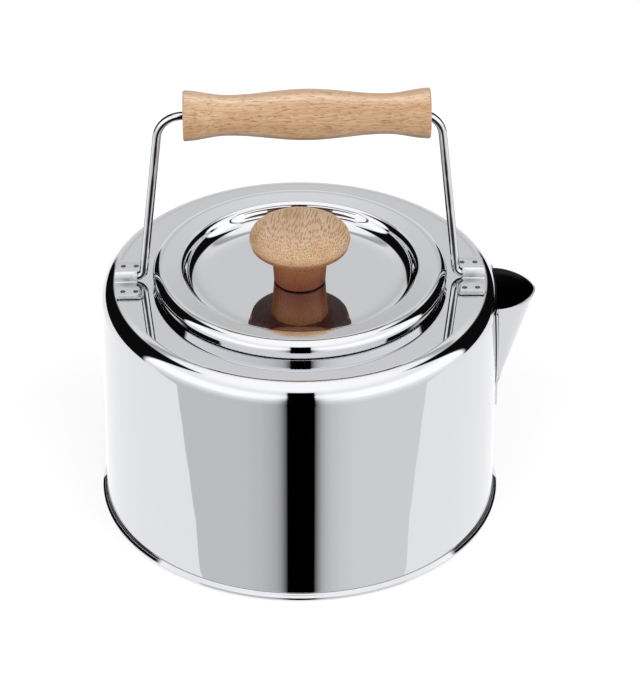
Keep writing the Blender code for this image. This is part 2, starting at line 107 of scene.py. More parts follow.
# Radius, lean at the outer end and number of spans of each arc between the flat floor and the wall.
RECESS_ARCS = ((0.045, 6, 12), (0.014, 22, 10), (0.0056, WALL_LEAN, 14))
RIM_LIP_RADIUS = 0.0029
RIM_LIP_CENTRE = 0.0489
RIM_SLOPE = 4.7
ROLL_TOP_RADIUS = 0.00475
ROLL_SIDE_RADIUS = 0.0035
ROLL_SIDE_CENTRE = (0.055715, 0.10417)
ROLL_JOIN = 45
ROLL_EDGE_RADIUS = 0.0008
ROLL_EDGE_START = 84
SKIRT_LEAN = 107
HEM_RADIUS = 0.0007
HEM_END_RADIUS = 0.0563
FASTENER_HOLE_RADIUS = 0.0023

# Ring under the lid
RING_SHEET = 0.0008
RING_FLANGE_RADIUS = 0.0577
RING_PLUG_RADIUS = 0.0550
RING_FILLET = 0.0006
RING_PLUG_BOTTOM = 0.0930

# Knob and its fastening
KNOB_HEIGHT = 0.1264
KNOB_CAP_RADIUS = 0.0202
KNOB_TOP_RADIUS = 0.0080
KNOB_CROWN_DROP = 0.0002
KNOB_EDGE_HEIGHT = 0.1205
KNOB_BAND_BOTTOM = 0.1175
KNOB_NECK_RADIUS = 0.0113
KNOB_FOOT_RADIUS = 0.01035
KNOB_BORE_RADIUS = 0.0022
KNOB_BORE_TOP = 0.1155
SCREW_RADIUS = 0.0019
SCREW_TOP = 0.1148
SCREW_POINT_SHARE = 0.7
SCREW_HEAD_RADIUS = 0.0040
SCREW_HEAD_HEIGHT = 0.0020
SCREW_HEAD_CORNER = 0.0012
THREAD_TURNS = 16
THREAD_START = 0.0006
THREAD_PITCH = 0.0007
THREAD_ROOT_SHARE = 0.82
# Length and width of the two crossed slots, and twice their depth.
DRIVER_SLOT = (0.0044, 0.0009, 0.0018)
WASHER_RADIUS = 0.0055
WASHER_THICKNESS = 0.0008

# Bail wire and grip
WIRE_RADIUS = 0.0017
PIVOT_HEIGHT = 0.1030
WIRE_END = 0.0738
LEG_X_LOW = 0.0612
LEG_Z_LOW = 0.1200
LEG_LEAN = 0.1024
FOOT_BEND_RADIUS = 0.0032
TOP_BEND_RADIUS = 0.0104
GRIP_AXIS_HEIGHT = 0.1775
GRIP_LENGTH = 0.0972
GRIP_CENTRE_X = 0.0027
GRIP_END_RADIUS = 0.0100
GRIP_EDGE_RADIUS = 0.0007
GRIP_MIDDLE_RADIUS = 0.0101
GRIP_WAIST_RADIUS = 0.0080
GRIP_WAIST_X = 0.0310
GRIP_BORE_RADIUS = 0.0024
GRIP_BORE_MOUTH_RADIUS = 0.0042
GRIP_BORE_MOUTH_DEPTH = 0.0060

# Brackets
BRACKET_SHEET = 0.0007
BRACKET_X = 0.0685
BRACKET_WIDTH = 0.0115
BRACKET_LENGTH = 0.0277
BRACKET_CORNER = 0.0022
BRACKET_SOFTENING = 0.00025
# The strip is made this much too wide at each side, and its outline trims it between two heights.
BRACKET_TRIM = 0.0005
BRACKET_TRIM_HEIGHTS = (0.09, 0.12)
BRIDGE_CLEARANCE = 0.0003
BRIDGE_INNER_X = 0.0654
# Distance outside the bridge and height above the flap of the two points of its foot.
BRIDGE_FOOT = ((0.0007, 0.0), (0.0003, 0.0001))
BRIDGE_RISE = 0.0004
NOTCH_HALF_LENGTH = 0.0054
WELD_X = 0.0026
WELD_Y = 0.0094
WELD_BALL_RADIUS = 0.0020
WELD_DEPTH = 0.0003
WELD_MARK_RADIUS = 0.0012

# Fineness of the visual meshes
GAP = 0.0003
SIDES = 192
MERGE = 0.00001
TOUCHING = MERGE / 100
GUARD = 0.00012
EDGE_SOFTENING = 0.00012
SOFTENED_ANGLE = 50
CREASE = 35
TONGUE_SPANS = 8
SPOUT_SPANS = 24
SPOUT_SPACING = 1.3
SPOUT_ACROSS = 56
GRIP_SPANS = 90

# Finishes, as linear colours, with the painted shade inside the spout and the painted reflection on
# the wire
WHITE = (1.0, 1.0, 1.0, 1.0)
STEEL_TINT = (0.652, 0.657, 0.678, 1.0)
SPOUT_TINT = (0.58, 0.585, 0.605, 1.0)
# Painted shade: the spout's inner faces are near-black where its deep channel lies in shadow.
SPOUT_INSIDE_PAINTED_SHADE = (0.022, 0.022, 0.025, 1.0)
WELD_TINT = (0.10, 0.10, 0.11, 1.0)
FASTENER_TINT = (0.62, 0.62, 0.63, 1.0)
GRIP_TONES = ((0.30, (0.64, 0.37, 0.185)), (0.52, (0.75, 0.475, 0.255)), (0.72, (0.82, 0.56, 0.33)))
GRIP_FIBRE = (0.53, 0.28, 0.125, 1.0)
GRIP_PORE = (0.34, 0.165, 0.075, 1.0)
KNOB_TONES = ((0.30, (0.66, 0.38, 0.18)), (0.50, (0.78, 0.51, 0.29)), (0.72, (0.83, 0.60, 0.40)))
KNOB_STRAND = (0.40, 0.19, 0.085, 1.0)
# Painted reflection across the wire, from its middle (0) to its edge (1): dark bands in the middle
# and at the edges.
WIRE_PAINTED_REFLECTIONS = (
    (0.0, (0.03, 0.03, 0.03)), (0.36, (0.05, 0.05, 0.055)), (0.52, STEEL_TINT[:3]),
    (0.93, STEEL_TINT[:3]), (0.965, (0.06, 0.06, 0.065)),
)

# Patterns of the finishes, and of the painted shade on the wood
# Scales are along X, Y and Z; a painted shade on faces turned down is the two directions between
# which the colour darkens, and its darkest shade; a roughness runs between two values.
NOISE_RANGE = (0.3, 0.7)
POLISH_SCALE = 45.0
PRESS_SCALE = 14.0
PRESS_STRENGTH = 0.002
PRESS_DEPTH = 0.002
BEND_RANGE = (0.35, 0.75)
WIRE_SCALE = (60, 60, 60)
WIRE_DRIFT = 0.02
WIRE_ROUGHNESS = (0.06, 0.12)
GRIP_BAND_SCALE = (9, 120, 120)
GRIP_FIBRE_SCALE = (70, 1500, 1500)
GRIP_PORE_SCALE = (300, 2100, 2100)
GRIP_UNDERSIDE_PAINTED_SHADE = (-0.80, -0.40, 0.25)
GRIP_ROUGHNESS = (0.38, 0.5)
GRIP_LACQUER = 0.5
KNOB_BAND_SCALE = (160, 160, 30)
KNOB_STRAND_SCALE = (1400, 1400, 1)
KNOB_BREAK_SCALE = (700, 700, 100)
KNOB_UNDERSIDE_PAINTED_SHADE = (-0.85, -0.45, 0.22)
KNOB_ROUGHNESS = (0.40, 0.52)
KNOB_LACQUER = 0.06
PORE_STRENGTH = 0.25
STRAND_STRENGTH = 0.3
WOOD_DEPTH = -0.0002
LACQUER_ROUGHNESS = 0.3
# Turn that lays the knob's strands along its front-to-back direction.
STRAND_TURN = (97, -9, 0)
# Painted shade on the knob: the heights between which the stem's painted shade grows lighter, its
# shades there, and the heights between which the stem's painted shade gives way to the cap's own
# colour.
STEM_PAINTED_SHADE_HEIGHTS = (0.1000, 0.1150)
STEM_PAINTED_SHADES = (0.34, 0.60)
CAP_FOOT_PAINTED_SHADE_HEIGHTS = (0.1186, 0.1193)

# The studio that the steel mirrors. Azimuth is 0 towards the camera and grows towards +X.
# Stops are (elevation, brightness), where 1 is white.
SKY_BOTTOM = -40.0
SKY_SPAN = 130.0
SKY_LEFT = ((-35, 0.76), (-20, 0.80), (-8, 1.00), (14, 1.50), (28, 1.50), (46, 1.22), (72, 1.43))
SKY_RIGHT = ((-35, 0.91), (-20, 1.00), (-8, 1.16), (7, 1.50), (28, 1.50), (46, 1.22), (72, 1.43))
SKY_BACK = (
    (-20, 0.86), (14, 0.86), (25, 0.73), (34.4, 0.865), (44, 1.03), (48, 0.50), (52, 0.60),
    (56, 1.30), (72, 1.43),
)
# Azimuths over which the left turns into the right, and the front into the back.
SIDE_BLEND = 6
BACK_BLEND = (100, 150)
# The dark gap between the two front softboxes: how far to the left it lies, the elevations over
# which it ends, and how much narrower it is at each elevation. Stops of its sides are (distance,
# brightness), where a distance of 1 is GAP_WIDTH degrees. The sides are crisper higher up.
GAP_SHIFT = 0.6
GAP_TOP = (52, 57)
GAP_NARROWING = ((-34, 1.0), (-4, 1.09), (26, 1.03), (46, 0.90), (56, 0.79))
GAP_WIDTH = 36.0
GAP_SOFT_SIDE = (
    (0.215, 0.0), (0.235, 0.15), (0.26, 0.28), (0.33, 0.58), (0.41, 0.76), (0.50, 0.84),
    (0.66, 0.93), (0.95, 1.0),
)
GAP_CRISP_SIDE = ((0.210, 0.0), (0.222, 0.55), (0.25, 0.88), (0.40, 1.0))
GAP_CRISP_FROM = (0, 30)
# The two dark flags: the azimuth that each stands across, the slope up to its top edge there,
# its first and last azimuth, and the elevation of its foot.
FLAGS = ((-80.0, 1.9, -158.0, -93.0, -12.0), (72.0, 2.0, 98.0, 158.0, -16.0))
FLAG_TINT = (0.005, 0.005, 0.005, 1.0)
FLAG_TOP_SOFTNESS = 0.12
FLAG_SIDE_SOFTNESS = 2
# Share of the mirrored world's brightness that lights everything else.
PLAIN_SHARE = 0.82
WOOD_LAMP_WATTS = 12.0
WOOD_LAMP_SIZE = (1.6, 0.7)
WOOD_LAMP_PLACE = (0.0, 0.45, 1.25)
WOOD_LAMP_AIM = (0.0, 0.0, 0.14)
# The floor lies a hair under the kettle's foot, so that the two never share a plane.
FLOOR_DROP = -0.0002
FLOOR_REACH = 6.0
FLOOR_COLOUR = (0.80, 0.80, 0.80, 1.0)
FLOOR_GLOW = 0.42
# The white table top in the steel: its brightness, its height and the right half of its outline.
TABLE_LIGHT = 1.14
TABLE_HEIGHT = 0.0001
TABLE_EDGE = (
    (0.0, -0.0620), (0.048, -0.0717), (0.080, -0.0845), (0.113, -0.0915), (0.150, -0.0940),
    (0.1825, -0.0925), (0.62, -0.0925), (0.62, 0.95),
)


def arc(centre_r, centre_z, radius, start, end, count):
    """Points on an arc in the profile plane; angles in degrees from +X towards +Z."""
    points = []
    for i in range(count + 1):
        angle = math.radians(start + (end - start) * i / count)
        points.append((centre_r + radius * math.cos(angle), centre_z + radius * math.sin(angle)))
    return points


def guarded(profile):
    """Adds a point near both ends of each long straight run, so that reflections stay straight."""
    points = [profile[0]]
    for start, end in zip(profile, profile[1:]):
        run = Vector(end) - Vector(start)
        if run.length > 6 * GUARD:
            step = run.normalized() * GUARD
            points.append(tuple(Vector(start) + step))
            points.append(tuple(Vector(end) - step))
        points.append(end)
    return points


def smooth_through(points, per_span):
    """A Catmull-Rom curve through the points."""
    ends = [points[0]] + list(points) + [points[-1]]
    curve = []
    for a, b, c, d in zip(ends, ends[1:], ends[2:], ends[3:]):
        for i in range(per_span):
            t = i / per_span
            weights = (-t + 2 * t * t - t ** 3, 2 - 5 * t * t + 3 * t ** 3,
                       t + 4 * t * t - 3 * t ** 3, t ** 3 - t * t)
            weighted = list(zip(weights, (a, b, c, d)))
            curve.append(tuple(sum(w * p[k] for w, p in weighted) / 2 for k in (0, 1)))
    return curve + [points[-1]]


def add_object(name, data):
    """Links a new object with this data to the scene."""
    thing = bpy.data.objects.new(name, data)
    bpy.context.scene.collection.objects.link(thing)
    return thing


def add_built(name, build):
    """Makes an object of a finished bmesh, which is freed."""
    mesh = bpy.data.meshes.new(name)
    build.to_mesh(mesh)
    build.free()
    return add_object(name, mesh)


def evaluated_mesh(thing):
    """The mesh that the object's modifiers or its curve make."""
    bpy.context.view_layer.update()
    depsgraph = bpy.context.evaluated_depsgraph_get()
    return bpy.data.meshes.new_from_object(thing.evaluated_get(depsgraph))


def apply_modifiers(thing, crease=CREASE):
    """Makes the modified mesh the object's own: welded, facing out, smooth except at real edges."""
    mesh = evaluated_mesh(thing)
    build = bmesh.new()
    build.from_mesh(mesh)
    bmesh.ops.remove_doubles(build, verts=build.verts, dist=TOUCHING)
    bmesh.ops.recalc_face_normals(build, faces=build.faces)
    build.to_mesh(mesh)
    build.free()
    thing.modifiers.clear()
    thing.data = mesh
    mesh.name = thing.name
    mesh.shade_smooth()
    mesh.set_sharp_from_angle(angle=math.radians(crease))
    return thing


def mesh_from_curve(name, curve):
    """The curve's surface as a mesh object."""
    drawn = add_object(name, curve)
    mesh = evaluated_mesh(drawn)
    bpy.data.objects.remove(drawn, do_unlink=True)
    return apply_modifiers(add_object(name, mesh))


def thicken(thing, sheet):
    """Grows the sheet inwards from its outer skin."""
    solidify = thing.modifiers.new("Sheet", "SOLIDIFY")
    solidify.thickness = sheet
    solidify.offset = -1.0
    solidify.use_even_offset = True


def soften_edges(thing, width=EDGE_SOFTENING):
    """Rounds the sharp edges, so that they catch the light."""
    bevel = thing.modifiers.new("Soft edges", "BEVEL")
    bevel.width = width
    bevel.segments = 2
    bevel.limit_method = "ANGLE"
    bevel.angle_limit = math.radians(SOFTENED_ANGLE)


def turned(name, profile, sides=SIDES, closed=False, sheet=None, soft=True, crease=CREASE):
    """Turns a profile of (radius, height) points about Z, with the sheet growing inwards."""
    points = guarded(profile)
    mesh = bpy.data.meshes.new(name)
    edges = [(i, i + 1) for i in range(len(points) - 1)]
    if closed:
        edges.append((len(points) - 1, 0))
    mesh.from_pydata([(r, 0.0, z) for r, z in points], edges, [])
    thing = add_object(name, mesh)
    screw = thing.modifiers.new("Turn", "SCREW")
    screw.axis = "Z"
    screw.angle = 2 * math.pi
    screw.steps = sides
    screw.render_steps = sides
    screw.use_merge_vertices = True
    screw.merge_threshold = MERGE
    if sheet is not None:
        thicken(thing, sheet)
    if soft:
        soften_edges(thing)
    return apply_modifiers(thing, crease)


def dress(piece, body, node, material):
    """Gives a piece its material, its body and the node that it stands for."""
    piece.data.materials.clear()
    piece.data.materials.append(material)
    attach(piece, body)
    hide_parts(node)


def cut(thing, cutter, operation="DIFFERENCE"):
    """Cuts a mesh with another and removes the cutter."""
    boolean = thing.modifiers.new("Cut", "BOOLEAN")
    boolean.operation = operation
    boolean.solver = "EXACT"
    boolean.object = cutter
    apply_modifiers(thing)
    bpy.data.objects.remove(cutter, do_unlink=True)


def hole_places():
    """Sideways place and height of each strainer hole."""
    for height, count in STRAINER_ROWS:
        for i in range(count):
            yield (i - (count - 1) / 2) * STRAINER_PITCH, height


def make_body():
    shoulder_r = BODY_RADIUS - SHOULDER_RADIUS
    shoulder_z = PLATE_HEIGHT - SHOULDER_RADIUS
    flare = FOOT_FLANGE_RADIUS - BODY_RADIUS - FOOT_FLANGE_RIM
    mouth_r = MOUTH_RADIUS + MOUTH_EDGE_RADIUS
    profile = [(MOUTH_RADIUS, NECK_BOTTOM)]
    profile += arc(mouth_r, PLATE_HEIGHT - MOUTH_EDGE_RADIUS, MOUTH_EDGE_RADIUS, 180, 90, 8)
    profile += arc(shoulder_r, shoulder_z, SHOULDER_RADIUS, 90, 0, 40)
    profile += arc(BODY_RADIUS + flare, FOOT_FLANGE_TOP + flare, flare, 180, 270, 8)
    profile += [(FOOT_FLANGE_RADIUS, FOOT_FLANGE_TOP)]
    body = turned("body_shell_look", profile, sheet=BODY_SHEET, soft=False)
    drills = bmesh.new()
    quarter_turn = Matrix.Rotation(math.pi / 2, 3, "Y")
    for y, z in hole_places():
        drill = bmesh.ops.create_cone(
            drills, cap_ends=True, segments=DRILL_SIDES,
            radius1=STRAINER_HOLE_RADIUS, radius2=STRAINER_HOLE_RADIUS, depth=DRILL_LENGTH)
        bmesh.ops.rotate(drills, verts=drill["verts"], cent=(0, 0, 0), matrix=quarter_turn)
        bmesh.ops.translate(drills, verts=drill["verts"], vec=(BODY_RADIUS, y, z))
    cut(body, add_built("drills", drills))
    return body


def make_base():
    """The base disc with its seam ring; a low crease keeps the edges of the seam's steps sharp."""
    edge_r = SEAM_RADIUS - SEAM_EDGE_RADIUS
    profile = SEAM_STEPS + arc(edge_r, SEAM_EDGE_RADIUS, SEAM_EDGE_RADIUS, 0, -90, 10)
    profile += [
        (GROOVE_OUTER_RADIUS, 0.0),
        (GROOVE_OUTER_RADIUS - GROOVE_SLOPE, GROOVE_DEPTH),
        (GROOVE_INNER_RADIUS + GROOVE_SLOPE, GROOVE_DEPTH),
        (GROOVE_INNER_RADIUS, 0.0),
        (0.0, 0.0),
    ]
    return turned("base_plate_look", profile, sheet=BASE_SHEET, crease=20)


def spout_row(height):
    """Points of the spout's outer skin at one height, from flange edge to flange edge."""
    rise = max((height - SPOUT_FOOT) / (SPOUT_TOP - SPOUT_FOOT), 0.0)
    skin = BODY_RADIUS + GAP + SPOUT_SHEET
    drop = min(max((SPOUT_FOOT - height) / (SPOUT_FOOT - SPOUT_TONGUE_BOTTOM), 0.0), 1.0)
    half = SPOUT_FOOT_HALF_WIDTH + (SPOUT_HALF_WIDTH - SPOUT_FOOT_HALF_WIDTH) * rise
    edge = half + SPOUT_FLANGE * math.sqrt(max(1.0 - drop ** 3, SPOUT_TONGUE_END))
    wall_x = math.sqrt(skin ** 2 - half ** 2)
    reach = SPOUT_TIP_REACH - skin
    points = []
    for y in (-edge, -(edge + half) / 2, -half - GUARD):
        points.append((math.sqrt(skin ** 2 - y ** 2), y, height))
    for i in range(SPOUT_ACROSS + 1):
        angle = -math.pi / 2 + math.pi * i / SPOUT_ACROSS
        out = max(math.cos(angle), 0.0) ** (2 / SPOUT_ROUNDNESS)
        side = abs(math.sin(angle)) ** (2 / SPOUT_ROUNDNESS) * (1 if angle > 0 else -1)
        y = half * side
        on_wall = math.sqrt(skin ** 2 - y ** 2)
        tip = wall_x + (skin + reach * rise - wall_x) * out
        points.append((tip if rise > 0 else on_wall, y, height))
    for y in (half + GUARD, (edge + half) / 2, edge):
        points.append((math.sqrt(skin ** 2 - y ** 2), y, height))
    return points


def make_spout():
    tongue = SPOUT_FOOT - SPOUT_TONGUE_BOTTOM
    wedge = SPOUT_TOP - SPOUT_FOOT
    heights = [SPOUT_TONGUE_BOTTOM + tongue * i / TONGUE_SPANS for i in range(TONGUE_SPANS)]
    for i in range(SPOUT_SPANS + 1):
        heights.append(SPOUT_FOOT + wedge * (i / SPOUT_SPANS) ** SPOUT_SPACING)
    grid = bmesh.new()
    rows = [[grid.verts.new(point) for point in spout_row(height)] for height in heights]
    for low, high in zip(rows, rows[1:]):
        for i in range(len(low) - 1):
            grid.faces.new((low[i], low[i + 1], high[i + 1], high[i]))
    spout = add_built("spout_look", grid)
    thicken(spout, SPOUT_SHEET)
    soften_edges(spout)
    return apply_modifiers(spout, crease=50)


def mark_welds(bracket, side, material):
    """Gives the four pressed spot-weld marks their own material."""
    bracket.data.materials.append(material)
    for face in bracket.data.polygons:
        across = abs(abs(face.center.x - side * BRACKET_X) - WELD_X)
        along = abs(face.center.y) - WELD_Y
        if math.hypot(across, along) < WELD_MARK_RADIUS and face.normal.z > 0.5:
            face.material_index = 1


def paint_spout_inside_shade(spout, material):
    """Gives the faces that look into the spout their own material: near-black steel that paints the
    shade of its deep channel.
    """
    spout.data.materials.append(material)
    for face in spout.data.polygons:
        outward = face.center - Vector((SPOUT_INSIDE_X, 0.0, face.center.z))
        if face.normal.dot(outward) < 0 and abs(face.normal.z) < 0.8:
            face.material_index = 1


def leaning(centre, radius, start, end, count):
    """Points on an arc of the lid's skin, by the lean of its normal away from straight up."""
    return arc(centre[0], centre[1], radius, 90 - start, 90 - end, count)


def arc_centre(centre, radius, new_radius, lean):
    """Centre of another arc that meets this one smoothly where the normal has this lean."""
    step = radius - new_radius
    angle = math.radians(lean)
    return centre[0] + step * math.sin(angle), centre[1] + step * math.cos(angle)


def recess_rise(wall_top):
    """The recess from its flat floor to the foot of the wall, in arcs that steepen outwards."""
    points = [(0.0, RECESS_FLOOR)]
    inner = 0.0
    for radius, outer_lean, spans in RECESS_ARCS:
        start_r, start_z = points[-1]
        outer = math.radians(outer_lean)
        for step in range(1, spans + 1):
            lean = inner + (outer - inner) * step / spans
            r = start_r + radius * (math.sin(lean) - math.sin(inner))
            points.append((r, start_z + radius * (math.cos(inner) - math.cos(lean))))
        inner = outer
    foot_r, foot_z = points[-1]
    shift = wall_top[0] - (wall_top[1] - foot_z) / math.tan(inner) - foot_r
    return [(r + shift, z) for r, z in points]


def hem_bottom():
    """Height of the lid's hem, which lies on the top plate."""
    return PLATE_HEIGHT + GAP


def lid_profile():
    """The lid's upper skin: floor, wall, lip, rim, rolled edge, skirt and the turned-in hem."""
    top_centre = arc_centre(ROLL_SIDE_CENTRE, ROLL_SIDE_RADIUS, ROLL_TOP_RADIUS, ROLL_JOIN)
    edge_centre = arc_centre(ROLL_SIDE_CENTRE, ROLL_SIDE_RADIUS, ROLL_EDGE_RADIUS, ROLL_EDGE_START)
    slope = math.radians(RIM_SLOPE)
    rim_outer = leaning(top_centre, ROLL_TOP_RADIUS, -RIM_SLOPE, -RIM_SLOPE, 1)[0]
    rim_inner_r = RIM_LIP_CENTRE - RIM_LIP_RADIUS * math.sin(slope)
    rim_inner_z = rim_outer[1] - (rim_outer[0] - rim_inner_r) * math.tan(slope)
    lip_centre = (RIM_LIP_CENTRE, rim_inner_z - RIM_LIP_RADIUS * math.cos(slope))
    lip = leaning(lip_centre, RIM_LIP_RADIUS, -WALL_LEAN, -RIM_SLOPE, 20)

    profile = [(FASTENER_HOLE_RADIUS, RECESS_FLOOR), (KNOB_FOOT_RADIUS / 2, RECESS_FLOOR)]
    profile += recess_rise(lip[0]) + lip
    profile += leaning(top_centre, ROLL_TOP_RADIUS, -RIM_SLOPE, ROLL_JOIN, 18)
    profile += leaning(ROLL_SIDE_CENTRE, ROLL_SIDE_RADIUS, ROLL_JOIN, ROLL_EDGE_START, 14)[1:]
    profile += leaning(edge_centre, ROLL_EDGE_RADIUS, ROLL_EDGE_START, SKIRT_LEAN, 5)[1:]
    skirt_top = profile[-1]
    hem_z = hem_bottom() + HEM_RADIUS
    skirt = math.radians(SKIRT_LEAN)
    drop = skirt_top[1] - (hem_z + HEM_RADIUS * math.cos(skirt))
    hem_r = skirt_top[0] + drop / math.tan(skirt) - HEM_RADIUS * math.sin(skirt)
    profile += leaning((hem_r, hem_z), HEM_RADIUS, SKIRT_LEAN, 180, 10)
    profile += [(HEM_END_RADIUS, hem_bottom())]
    return profile


def make_lid():
    return turned("lid_look", lid_profile(), sheet=LID_SHEET)


def make_lid_ring():
    flange_z = hem_bottom() + LID_SHEET + GAP
    profile = [(RING_FLANGE_RADIUS, flange_z)]
    profile += arc(RING_PLUG_RADIUS + RING_FILLET, flange_z - RING_FILLET, RING_FILLET, 90, 180, 8)
    profile += [(RING_PLUG_RADIUS, RING_PLUG_BOTTOM)]
    return turned("lid_ring_look", profile, sheet=RING_SHEET)


def make_knob():
    """The mushroom knob: a domed cap, a narrow band under its edge, and a stem that tapers down."""
    foot = RECESS_FLOOR + GAP
    cap = KNOB_CAP_RADIUS
    crown = KNOB_HEIGHT - KNOB_CROWN_DROP
    outside = [(0.0, KNOB_HEIGHT), (KNOB_TOP_RADIUS / 2, KNOB_HEIGHT - 0.00005)]
    for step in range(9):
        angle = math.pi / 2 * step / 8
        outside.append((KNOB_TOP_RADIUS + (cap - KNOB_TOP_RADIUS) * math.sin(angle),
                        KNOB_EDGE_HEIGHT + (crown - KNOB_EDGE_HEIGHT) * math.cos(angle)))
    outside += [
        (cap, KNOB_EDGE_HEIGHT - 0.0006),
        (cap - 0.0001, KNOB_EDGE_HEIGHT - 0.0010),
        (cap - 0.0004, KNOB_EDGE_HEIGHT - 0.0013),
        (cap - 0.0007, KNOB_BAND_BOTTOM + 0.0004),
        (cap - 0.0013, KNOB_BAND_BOTTOM - 0.0002),
        (KNOB_NECK_RADIUS + 0.0022, KNOB_BAND_BOTTOM - 0.0010),
        (KNOB_NECK_RADIUS + 0.0005, KNOB_BAND_BOTTOM - 0.0018),
        (KNOB_NECK_RADIUS, KNOB_BAND_BOTTOM - 0.0036),
        (KNOB_FOOT_RADIUS, foot + 0.0004),
    ]
    inside = [
        (KNOB_FOOT_RADIUS - 0.0004, foot),
        (KNOB_BORE_RADIUS, foot),
        (KNOB_BORE_RADIUS, KNOB_BORE_TOP),
        (0.0, KNOB_BORE_TOP),
    ]
    return turned("knob_look", smooth_through(outside, 6) + inside, sides=128, soft=False)


def washer_top():
    """Height of the washer's top, under the lid's floor."""
    return RECESS_FLOOR - LID_SHEET - GAP


def make_knob_screw():
    head_top = washer_top() - WASHER_THICKNESS - GAP
    head_bottom = head_top - SCREW_HEAD_HEIGHT
    profile = [(0.0, SCREW_TOP), (SCREW_RADIUS * SCREW_POINT_SHARE, SCREW_TOP)]
    root = SCREW_RADIUS * THREAD_ROOT_SHARE
    for i in range(THREAD_TURNS):
        crest = SCREW_TOP - THREAD_START - i * THREAD_PITCH
        profile += [(root, crest + THREAD_PITCH / 2), (SCREW_RADIUS, crest)]
    profile += [(SCREW_RADIUS, head_top), (SCREW_HEAD_RADIUS, head_top)]
    corner = SCREW_HEAD_CORNER
    profile += arc(SCREW_HEAD_RADIUS - corner, head_bottom + corner, corner, 0, -90, 8)
    profile += [(0.0, head_bottom)]
    screw = turned("knob_screw_look", profile, sides=48, soft=False)
    length, width, depth = DRIVER_SLOT
    for size in ((length, width, depth), (width, length, depth)):
        slot = bmesh.new()
        blade = bmesh.ops.create_cube(slot, size=1.0)
        bmesh.ops.scale(slot, verts=blade["verts"], vec=size)
        bmesh.ops.translate(slot, verts=blade["verts"], vec=(0, 0, head_bottom))
        cut(screw, add_built("driver_slot", slot))
    return screw


def make_knob_washer():
    top = washer_top()
    bottom = top - WASHER_THICKNESS
    profile = [
        (FASTENER_HOLE_RADIUS, top),
        (WASHER_RADIUS, top),
        (WASHER_RADIUS, bottom),
        (FASTENER_HOLE_RADIUS, bottom),
    ]
    return turned("knob_washer_look", profile, sides=64, closed=True)


def leg_x(height):
    """Distance of the bail's leaning leg from the middle at this height."""
    return LEG_X_LOW - LEG_LEAN * (height - LEG_Z_LOW)


def wire_half():
    """Centre line of one half of the bail, from its end in the bracket to the middle of the top."""
    lean = math.atan(LEG_LEAN)
    turn = 90 - math.degrees(lean)
    low_z = PIVOT_HEIGHT + FOOT_BEND_RADIUS
    tangent_z = low_z - FOOT_BEND_RADIUS * math.sin(lean)
    low_x = leg_x(tangent_z) + FOOT_BEND_RADIUS * math.cos(lean)
    points = [(WIRE_END, PIVOT_HEIGHT)]
    points += arc(low_x, low_z, FOOT_BEND_RADIUS, -90, -90 - turn, 16)
    top_z = GRIP_AXIS_HEIGHT - TOP_BEND_RADIUS
    tangent_z = top_z + TOP_BEND_RADIUS * math.sin(lean)
    top_x = leg_x(tangent_z) - TOP_BEND_RADIUS * math.cos(lean)
    points += arc(top_x, top_z, TOP_BEND_RADIUS, math.degrees(lean), 90, 28)
    return guarded(points)


def make_bail_wire():
    half = wire_half()
    line = [(x, 0.0, z) for x, z in half] + [(-x, 0.0, z) for x, z in reversed(half)]
    curve = bpy.data.curves.new("bail_wire_look", "CURVE")
    curve.dimensions = "3D"
    curve.bevel_depth = WIRE_RADIUS
    curve.bevel_resolution = 8
    curve.use_fill_caps = True
    spline = curve.splines.new("POLY")
    spline.points.add(len(line) - 1)
    for point, place in zip(spline.points, line):
        point.co = (*place, 1.0)
    return mesh_from_curve("bail_wire_look", curve)


def grip_radius(x):
    """Outer radius along the grip: a barrel in the middle, two waists and flared ends."""
    half = GRIP_LENGTH / 2
    if abs(x) <= GRIP_WAIST_X:
        swing = 0.5 + 0.5 * math.cos(math.pi * x / GRIP_WAIST_X)
        return GRIP_WAIST_RADIUS + (GRIP_MIDDLE_RADIUS - GRIP_WAIST_RADIUS) * swing
    swing = 0.5 - 0.5 * math.cos(math.pi * (abs(x) - GRIP_WAIST_X) / (half - GRIP_WAIST_X))
    return GRIP_WAIST_RADIUS + (GRIP_END_RADIUS - GRIP_WAIST_RADIUS) * swing


def make_grip():
    half = GRIP_LENGTH / 2
    ease = GRIP_EDGE_RADIUS
    middle = GRIP_LENGTH - 2 * ease
    stations = [half - ease - middle * i / GRIP_SPANS for i in range(1, GRIP_SPANS)]
    profile = arc(GRIP_END_RADIUS - ease, half - ease, ease, 90, 8, 5)
    profile += [(grip_radius(x), x) for x in stations]
    profile += arc(GRIP_END_RADIUS - ease, ease - half, ease, -8, -90, 5)
    profile += [
        (GRIP_BORE_MOUTH_RADIUS, -half),
        (GRIP_BORE_RADIUS, GRIP_BORE_MOUTH_DEPTH - half),
        (GRIP_BORE_RADIUS, half - GRIP_BORE_MOUTH_DEPTH),
        (GRIP_BORE_MOUTH_RADIUS, half),
    ]
    grip = turned("grip_look", profile, sides=96, closed=True, soft=False)
    lengthwise = Matrix.Rotation(math.pi / 2, 4, "Y")
    grip.data.transform(Matrix.Translation((GRIP_CENTRE_X, 0.0, GRIP_AXIS_HEIGHT)) @ lengthwise)
    return grip


def flap_top():
    """Height of the upper skin of the brackets' flaps."""
    return PLATE_HEIGHT + GAP + BRACKET_SHEET


def bridge_radius():
    """Radius of the upper skin of the brackets' bridges."""
    return WIRE_RADIUS + BRIDGE_CLEARANCE + BRACKET_SHEET


def bracket_section():
    """Upper skin of the bracket along Y: a flap, the bridge over the wire, and a flap."""
    flap = flap_top()
    outer = bridge_radius()
    start = math.degrees(math.asin((flap + BRIDGE_RISE - PIVOT_HEIGHT) / outer))
    side = [(BRACKET_LENGTH / 2, flap)] + [(outer + out, flap + up) for out, up in BRIDGE_FOOT]
    bridge = arc(0.0, PIVOT_HEIGHT, outer, start, 180 - start, 28)
    return guarded(side + bridge + [(-y, z) for y, z in reversed(side)])


